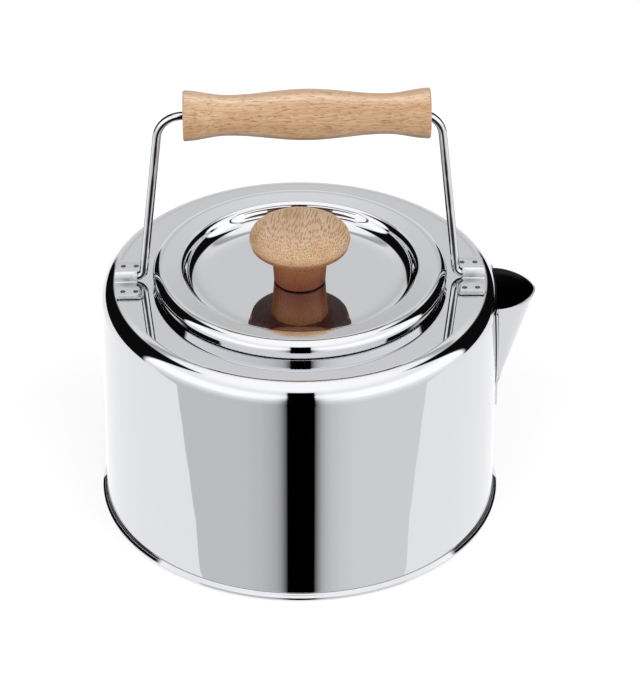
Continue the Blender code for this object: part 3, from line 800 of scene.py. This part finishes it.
def bracket_outline():
    """Plan of the bracket about its own centre, with the inner edge at -X notched for the wire."""
    half_x = BRACKET_WIDTH / 2
    half_y = BRACKET_LENGTH / 2
    inset = BRACKET_CORNER
    outline = []
    for corner_x, corner_y, start in ((1, 1, 0), (-1, 1, 90), (-1, -1, 180), (1, -1, 270)):
        centre_x = corner_x * (half_x - inset)
        centre_y = corner_y * (half_y - inset)
        outline += arc(centre_x, centre_y, inset, start, start + 90, 10)
        if start == 90:
            notch_x = BRIDGE_INNER_X - BRACKET_X
            narrow = bridge_radius()
            outline += [(-half_x, NOTCH_HALF_LENGTH), (notch_x, narrow)]
            outline += [(notch_x, -narrow), (-half_x, -NOTCH_HALF_LENGTH)]
    return outline


def outline_block(name, outline, low, high):
    """A filled flat outline raised between two heights, as a mesh."""
    curve = bpy.data.curves.new(name, "CURVE")
    curve.dimensions = "2D"
    curve.fill_mode = "BOTH"
    curve.extrude = (high - low) / 2
    spline = curve.splines.new("POLY")
    spline.points.add(len(outline) - 1)
    for point, (x, y) in zip(spline.points, outline):
        point.co = (x, y, 0.0, 1.0)
    spline.use_cyclic_u = True
    block = mesh_from_curve(name, curve)
    block.data.transform(Matrix.Translation((0.0, 0.0, (low + high) / 2)))
    return block


def weld_balls():
    """Four balls that press the spot-weld marks into the flaps."""
    height = flap_top() + WELD_BALL_RADIUS - WELD_DEPTH
    balls = bmesh.new()
    for side_x in (-1, 1):
        for side_y in (-1, 1):
            ball = bmesh.ops.create_uvsphere(
                balls, u_segments=32, v_segments=48, radius=WELD_BALL_RADIUS)
            place = (side_x * WELD_X, side_y * WELD_Y, height)
            bmesh.ops.translate(balls, verts=ball["verts"], vec=place)
    return add_built("weld_balls", balls)


def make_bracket(name, side):
    """A strip bent over the wire; side is +1 by the spout and -1 opposite it."""
    section = bracket_section()
    half_x = BRACKET_WIDTH / 2 + BRACKET_TRIM
    strip = bmesh.new()
    rows = [[strip.verts.new((x, y, z)) for y, z in section] for x in (-half_x, half_x)]
    for i in range(len(section) - 1):
        strip.faces.new((rows[0][i], rows[0][i + 1], rows[1][i + 1], rows[1][i]))
    bracket = add_built(name, strip)
    thicken(bracket, BRACKET_SHEET)
    apply_modifiers(bracket)
    cutter = outline_block("bracket_outline", bracket_outline(), *BRACKET_TRIM_HEIGHTS)
    cut(bracket, cutter, "INTERSECT")
    cut(bracket, weld_balls())
    soften_edges(bracket, BRACKET_SOFTENING)
    apply_modifiers(bracket, crease=28)
    place = Matrix.Translation((side * BRACKET_X, 0.0, 0.0))
    if side < 0:
        place = place @ Matrix.Rotation(math.pi, 4, "Z")
    bracket.data.transform(place)
    return bracket


class Net:
    """Short calls that add nodes to one node tree."""

    def __init__(self, tree):
        self.tree = tree

    def add(self, kind, **settings):
        node = self.tree.nodes.new(kind)
        for name, value in settings.items():
            setattr(node, name, value)
        return node

    def put(self, socket, value):
        if isinstance(value, bpy.types.NodeSocket):
            self.tree.links.new(value, socket)
        else:
            socket.default_value = value

    def math(self, operation, *values):
        node = self.add("ShaderNodeMath", operation=operation)
        for socket, value in zip(node.inputs, values):
            self.put(socket, value)
        return node.outputs[0]

    def ease(self, value, low, high, start=0.0, end=1.0):
        """Runs from start to end, easing at both ends, as the value passes from low to high."""
        node = self.add("ShaderNodeMapRange", interpolation_type="SMOOTHSTEP")
        for name, number in (("Value", value), ("From Min", low), ("From Max", high),
                             ("To Min", start), ("To Max", end)):
            self.put(node.inputs[name], number)
        return node.outputs["Result"]

    def ramp(self, value, stops, mode="EASE"):
        """A colour ramp over stops of (position, colour)."""
        node = self.add("ShaderNodeValToRGB")
        node.color_ramp.interpolation = mode
        elements = node.color_ramp.elements
        while len(elements) < len(stops):
            elements.new(0.5)
        for element, (position, colour) in zip(elements, stops):
            element.position = position
            element.color = (*colour, 1.0)
        self.put(node.inputs[0], value)
        return node.outputs[0]

    def grey_ramp(self, value, stops, mode="EASE"):
        """A ramp over stops of (position, brightness)."""
        return self.ramp(value, [(position, (grey,) * 3) for position, grey in stops], mode)

    def mix(self, factor, first, second, blend="MIX"):
        node = self.add("ShaderNodeMix", data_type="RGBA", blend_type=blend)
        self.put(node.inputs[0], factor)
        self.put(node.inputs[6], first)
        self.put(node.inputs[7], second)
        return node.outputs[2]

    def noise(self, vector, scale=1.0, detail=2.0):
        node = self.add("ShaderNodeTexNoise")
        self.put(node.inputs["Vector"], vector)
        self.put(node.inputs["Scale"], scale)
        self.put(node.inputs["Detail"], detail)
        return node.outputs["Fac"]

    def coordinates(self, kind="Object"):
        return self.add("ShaderNodeTexCoord").outputs[kind]

    def split(self, vector):
        """The X, Y and Z of a vector."""
        node = self.add("ShaderNodeSeparateXYZ")
        self.put(node.inputs[0], vector)
        return node.outputs

    def placed(self, rotation=(0, 0, 0), scale=(1, 1, 1)):
        """Object coordinates, turned and then scaled."""
        turn = self.add("ShaderNodeMapping")
        self.put(turn.inputs["Vector"], self.coordinates())
        turn.inputs["Rotation"].default_value = [math.radians(angle) for angle in rotation]
        stretch = self.add("ShaderNodeMapping")
        self.put(stretch.inputs["Vector"], turn.outputs[0])
        stretch.inputs["Scale"].default_value = scale
        return stretch.outputs[0]

    def painted_underside_shade(self, low, high, darkest):
        """A painted shade factor that falls from 1 to its darkest as the surface turns to face
        down.
        """
        return self.ease(self.split(self.coordinates("Normal"))[2], low, high, darkest, 1.0)

    def bump(self, height, strength, distance):
        node = self.add("ShaderNodeBump")
        node.inputs["Strength"].default_value = strength
        node.inputs["Distance"].default_value = distance
        self.put(node.inputs["Height"], height)
        return node.outputs[0]

    def glow(self, strength):
        """White light of this strength."""
        node = self.add("ShaderNodeEmission")
        node.inputs["Color"].default_value = WHITE
        self.put(node.inputs["Strength"], strength)
        return node.outputs[0]


def new_material(name):
    """A material, its net and its own Principled shader."""
    material = bpy.data.materials.new(name)
    material.use_nodes = True
    net = Net(material.node_tree)
    return material, net, material.node_tree.nodes["Principled BSDF"]


def bare_material(name):
    """A material, its net and the socket that takes its surface, with no shader yet."""
    material = bpy.data.materials.new(name)
    material.use_nodes = True
    material.node_tree.nodes.clear()
    net = Net(material.node_tree)
    return material, net, net.add("ShaderNodeOutputMaterial").inputs["Surface"]


def steel(name, tint=STEEL_TINT, smooth=0.02, rough=0.04, bent=None):
    """Polished steel: roughness drifts with the polishing, and pressing left a faint wave.
    A strip bent across its length is satin on the faces that the bend turned along Y."""
    material, net, shader = new_material(name)
    shader.inputs["Base Color"].default_value = tint
    shader.inputs["Metallic"].default_value = 1.0
    polish = net.noise(net.placed(), POLISH_SCALE, detail=4.0)
    polish = net.ease(polish, *NOISE_RANGE, smooth, rough)
    if bent is not None:
        lean = net.math("ABSOLUTE", net.split(net.coordinates("Normal"))[1])
        polish = net.ease(lean, *BEND_RANGE, polish, bent)
    net.put(shader.inputs["Roughness"], polish)
    press = net.noise(net.placed(), PRESS_SCALE, detail=1.0)
    net.put(shader.inputs["Normal"], net.bump(press, PRESS_STRENGTH, PRESS_DEPTH))
    return material


def painted_reflection_wire():
    """Bright wire with a painted reflection: dark lengthwise bands down its middle and edges."""
    material, net, shader = new_material("bright_wire_steel")
    across = net.math("ABSOLUTE", net.split(net.coordinates())[1])
    across = net.math("DIVIDE", across, WIRE_RADIUS)
    drift = net.noise(net.placed(scale=WIRE_SCALE))
    across = net.math("ADD", across, net.ease(drift, *NOISE_RANGE, -WIRE_DRIFT, WIRE_DRIFT))
    # Painted reflection: the ramp puts dark bands down the middle and the edges of the wire.
    net.put(shader.inputs["Base Color"], net.ramp(across, WIRE_PAINTED_REFLECTIONS))
    shader.inputs["Metallic"].default_value = 1.0
    net.put(shader.inputs["Roughness"], net.ease(drift, *NOISE_RANGE, *WIRE_ROUGHNESS))
    return material


def lacquer(shader, weight):
    """A thin satin coat."""
    shader.inputs["Coat Weight"].default_value = weight
    shader.inputs["Coat Roughness"].default_value = LACQUER_ROUGHNESS


def grip_wood():
    """Pale close-grained hardwood turned along X, with short dark pores and a painted shade that
    darkens its lower side.
    """
    material, net, shader = new_material("pale_turned_wood")
    tone = net.ramp(net.noise(net.placed(scale=GRIP_BAND_SCALE), detail=3.0), GRIP_TONES)
    fibres = net.noise(net.placed(scale=GRIP_FIBRE_SCALE))
    tone = net.mix(net.ease(fibres, 0.42, 0.62, 0.0, 0.55), tone, GRIP_FIBRE)
    pores = net.noise(net.placed(scale=GRIP_PORE_SCALE), detail=1.0)
    pore_mask = net.ease(pores, 0.57, 0.67)
    tone = net.mix(net.math("MULTIPLY", pore_mask, 0.75), tone, GRIP_PORE)
    # Painted shade: the grip's colour darkens where it faces down.
    tone = net.mix(1.0, tone, net.painted_underside_shade(*GRIP_UNDERSIDE_PAINTED_SHADE), "MULTIPLY")
    net.put(shader.inputs["Base Color"], tone)
    net.put(shader.inputs["Roughness"], net.ease(fibres, *NOISE_RANGE, *GRIP_ROUGHNESS))
    net.put(shader.inputs["Normal"], net.bump(pore_mask, PORE_STRENGTH, WOOD_DEPTH))
    lacquer(shader, GRIP_LACQUER)
    return material


def knob_wood():
    """Warm fibrous wood whose strands run front to back: streaks on the top, dots on the front.
    A painted shade darkens the stem and the cap's downward-facing faces."""
    material, net, shader = new_material("warm_turned_wood")
    bands = net.noise(net.placed(STRAND_TURN, KNOB_BAND_SCALE), detail=3.0)
    tone = net.ramp(bands, KNOB_TONES)
    strands = net.add("ShaderNodeTexVoronoi", feature="F1", voronoi_dimensions="2D")
    net.put(strands.inputs["Vector"], net.placed(STRAND_TURN, KNOB_STRAND_SCALE))
    strands.inputs["Scale"].default_value = 1.0
    strands.inputs["Randomness"].default_value = 0.65
    broken = net.noise(net.placed(STRAND_TURN, KNOB_BREAK_SCALE), detail=1.0)
    reach = net.math("ADD", strands.outputs["Distance"], net.ease(broken, 0.35, 0.65, 0.05, -0.05))
    strand_mask = net.ease(reach, 0.17, 0.40, 1.0, 0.0)
    tone = net.mix(net.math("MULTIPLY", strand_mask, 0.80), tone, KNOB_STRAND)
    height = net.split(net.coordinates())[2]
    # Painted shade: darker on the stem and where the cap faces down, and warmer as it darkens.
    stem = net.ease(height, *STEM_PAINTED_SHADE_HEIGHTS, *STEM_PAINTED_SHADES)
    painted_shade = net.ease(height, *CAP_FOOT_PAINTED_SHADE_HEIGHTS, stem, 1.0)
    painted_shade = net.math("MULTIPLY", painted_shade, net.painted_underside_shade(*KNOB_UNDERSIDE_PAINTED_SHADE))
    warm_painted_shade = net.add("ShaderNodeCombineXYZ")
    net.put(warm_painted_shade.inputs[0], painted_shade)
    net.put(warm_painted_shade.inputs[1], net.math("POWER", painted_shade, 2.0))
    net.put(warm_painted_shade.inputs[2], net.math("POWER", painted_shade, 3.0))
    net.put(shader.inputs["Base Color"], net.mix(1.0, tone, warm_painted_shade.outputs[0], "MULTIPLY"))
    net.put(shader.inputs["Roughness"], net.ease(bands, *NOISE_RANGE, *KNOB_ROUGHNESS))
    net.put(shader.inputs["Normal"], net.bump(strand_mask, STRAND_STRENGTH, WOOD_DEPTH))
    lacquer(shader, KNOB_LACQUER)
    return material


def make_kettle():
    """Every piece, its finish and the body that it rides on."""
    shell = steel("mirror_steel_body")
    pressed = steel("mirror_steel_lid")
    fitted = steel("mirror_steel_fittings", smooth=0.12, rough=0.18, bent=0.45)
    pouring = steel("mirror_steel_spout", tint=SPOUT_TINT)
    # Painted shade inside the spout: near-black steel on its inner faces.
    channel = steel("dark_spout_inside", tint=SPOUT_INSIDE_PAINTED_SHADE, smooth=0.25, rough=0.35)
    weld = steel("weld_mark_steel", tint=WELD_TINT, smooth=0.25, rough=0.4)
    plain = steel("plain_fastener_steel", tint=FASTENER_TINT, smooth=0.22, rough=0.32)
    dress(make_body(), "kettle_body", "body_shell", shell)
    dress(make_base(), "kettle_body", "base_plate", shell)
    spout = make_spout()
    dress(spout, "kettle_body", "spout", pouring)
    paint_spout_inside_shade(spout, channel)
    for name, side in (("bracket_left", -1), ("bracket_right", 1)):
        bracket = make_bracket(name + "_look", side)
        dress(bracket, "kettle_body", name, fitted)
        mark_welds(bracket, side, weld)
    dress(make_bail_wire(), "bail", "bail_wire", painted_reflection_wire())
    dress(make_grip(), "grip_sleeve", "grip", grip_wood())
    dress(make_lid(), "lid_set", "lid", pressed)
    dress(make_lid_ring(), "lid_set", "lid_ring", pressed)
    dress(make_knob(), "lid_set", "knob", knob_wood())
    dress(make_knob_screw(), "lid_set", "knob_screw", plain)
    dress(make_knob_washer(), "lid_set", "knob_washer", plain)


def look_along(thing, direction):
    """Turns a camera or a lamp to look along the direction."""
    thing.rotation_euler = direction.to_track_quat("-Z", "Y").to_euler()


def make_camera():
    azimuth = math.radians(CAMERA_AZIMUTH)
    elevation = math.radians(CAMERA_ELEVATION)
    back = Vector((
        math.sin(azimuth) * math.cos(elevation),
        -math.cos(azimuth) * math.cos(elevation),
        math.sin(elevation),
    ))
    data = bpy.data.cameras.new("camera")
    data.sensor_width = SENSOR
    data.lens = FOCAL_PIXELS / PHOTO_HEIGHT * SENSOR
    data.shift_x = (PHOTO_WIDTH / 2 - TARGET_PIXEL[0]) / PHOTO_HEIGHT
    data.shift_y = (TARGET_PIXEL[1] - PHOTO_HEIGHT / 2) / PHOTO_HEIGHT
    camera = add_object("camera", data)
    camera.location = Vector(TARGET) + back * CAMERA_DISTANCE
    look_along(camera, -back)
    bpy.context.scene.camera = camera


def make_world():
    """A studio seen by the steel: white overhead, two big front softboxes with a dark gap between
    them, a dark flag on each side towards the back, and a grey panel behind. The camera sees
    plain white, and all but the mirrored light is a little dimmer."""
    world = bpy.data.worlds.new("studio")
    bpy.context.scene.world = world
    world.use_nodes = True
    net = Net(world.node_tree)
    background = world.node_tree.nodes["Background"]

    x, y, z = net.split(net.coordinates("Generated"))
    azimuth = net.math("DEGREES", net.math("ARCTAN2", x, net.math("MULTIPLY", y, -1.0)))
    elevation = net.math("DEGREES", net.math("ARCSINE", z))
    from_middle = net.math("ABSOLUTE", net.math("ADD", azimuth, GAP_SHIFT))
    rise = net.math("DIVIDE", net.math("SUBTRACT", elevation, SKY_BOTTOM), SKY_SPAN)

    def by_elevation(stops):
        return net.grey_ramp(rise, [((at - SKY_BOTTOM) / SKY_SPAN, grey) for at, grey in stops])

    side = net.ease(azimuth, -SIDE_BLEND, SIDE_BLEND)
    front = net.mix(side, by_elevation(SKY_LEFT), by_elevation(SKY_RIGHT))
    light = net.mix(net.ease(from_middle, *BACK_BLEND), front, by_elevation(SKY_BACK))

    distance = net.math("MULTIPLY", from_middle, by_elevation(GAP_NARROWING))
    distance = net.math("DIVIDE", distance, GAP_WIDTH)
    soft_side = net.grey_ramp(distance, GAP_SOFT_SIDE, "LINEAR")
    crisp_side = net.grey_ramp(distance, GAP_CRISP_SIDE, "LINEAR")
    gap = net.mix(net.ease(elevation, *GAP_CRISP_FROM), soft_side, crisp_side)
    gap_height = net.ease(elevation, *GAP_TOP, 1.0, 0.0)
    light = net.mix(gap_height, light, net.mix(1.0, light, gap, "MULTIPLY"))

    slope = net.math("TANGENT", net.math("RADIANS", elevation))
    soft = FLAG_SIDE_SOFTNESS
    for facing, height, first, last, foot in FLAGS:
        offset = net.math("RADIANS", net.math("SUBTRACT", azimuth, facing))
        top = net.math("MULTIPLY", net.math("COSINE", offset), height)
        above = net.math("SUBTRACT", slope, top)
        flag = net.ease(above, -FLAG_TOP_SOFTNESS, FLAG_TOP_SOFTNESS, 1.0, 0.0)
        for edge in (
            net.ease(azimuth, first - soft, first + soft),
            net.ease(azimuth, last - soft, last + soft, 1.0, 0.0),
            net.ease(elevation, foot - soft, foot + soft),
        ):
            flag = net.math("MULTIPLY", flag, edge)
        light = net.mix(flag, light, FLAG_TINT)

    path = net.add("ShaderNodeLightPath").outputs
    plain = net.mix(1.0, light, (PLAIN_SHARE, PLAIN_SHARE, PLAIN_SHARE, 1.0), "MULTIPLY")
    light = net.mix(path["Is Glossy Ray"], plain, light)
    net.put(background.inputs["Color"], net.mix(path["Is Camera Ray"], light, WHITE))
    background.inputs["Strength"].default_value = 1.0


def make_wood_lamp():
    """A soft lamp above and behind that puts the satin sheen on the wood alone."""
    data = bpy.data.lights.new("wood_lamp", "AREA")
    data.shape = "RECTANGLE"
    data.size, data.size_y = WOOD_LAMP_SIZE
    data.energy = WOOD_LAMP_WATTS
    lamp = add_object("wood_lamp", data)
    lamp.visible_diffuse = False
    lamp.location = WOOD_LAMP_PLACE
    look_along(lamp, Vector(WOOD_LAMP_AIM) - lamp.location)
    wood = bpy.data.collections.new("wood")
    for name in ("grip_look", "knob_look"):
        wood.objects.link(bpy.data.objects[name])
    lamp.light_linking.receiver_collection = wood


def flat_object(name, corners, material):
    """One flat face with a material."""
    mesh = bpy.data.meshes.new(name)
    mesh.from_pydata(corners, [], [tuple(range(len(corners)))])
    mesh.materials.append(material)
    return add_object(name, mesh)


def make_floor():
    """The floor that the camera sees: white, with a faint shadow. The steel sees the table card."""
    material, net, surface = bare_material("floor_white")
    diffuse = net.add("ShaderNodeBsdfDiffuse")
    diffuse.inputs["Color"].default_value = FLOOR_COLOUR
    seen = net.add("ShaderNodeLightPath").outputs["Is Camera Ray"]
    both = net.add("ShaderNodeAddShader")
    net.put(both.inputs[0], diffuse.outputs[0])
    net.put(both.inputs[1], net.glow(net.math("MULTIPLY", seen, FLOOR_GLOW)))
    net.put(surface, both.outputs[0])
    corners = ((-1, -1), (1, -1), (1, 1), (-1, 1))
    places = [(x * FLOOR_REACH, y * FLOOR_REACH, FLOOR_DROP) for x, y in corners]
    floor = flat_object("floor", places, material)
    floor.visible_glossy = False


def make_table_card():
    """The white table top that the steel mirrors; its front edge runs just before the foot."""
    material, net, surface = bare_material("table_white")
    net.put(surface, net.glow(TABLE_LIGHT))
    corners = [(-x, y, TABLE_HEIGHT) for x, y in TABLE_EDGE[:0:-1]]
    corners += [(x, y, TABLE_HEIGHT) for x, y in TABLE_EDGE]
    card = flat_object("table_card", corners, material)
    card.visible_camera = False
    card.visible_diffuse = False
    card.visible_shadow = False


def main():
    bpy.context.scene.view_settings.view_transform = "Standard"
    make_camera()
    make_world()
    make_floor()
    make_table_card()
    make_kettle()
    make_wood_lamp()


main()
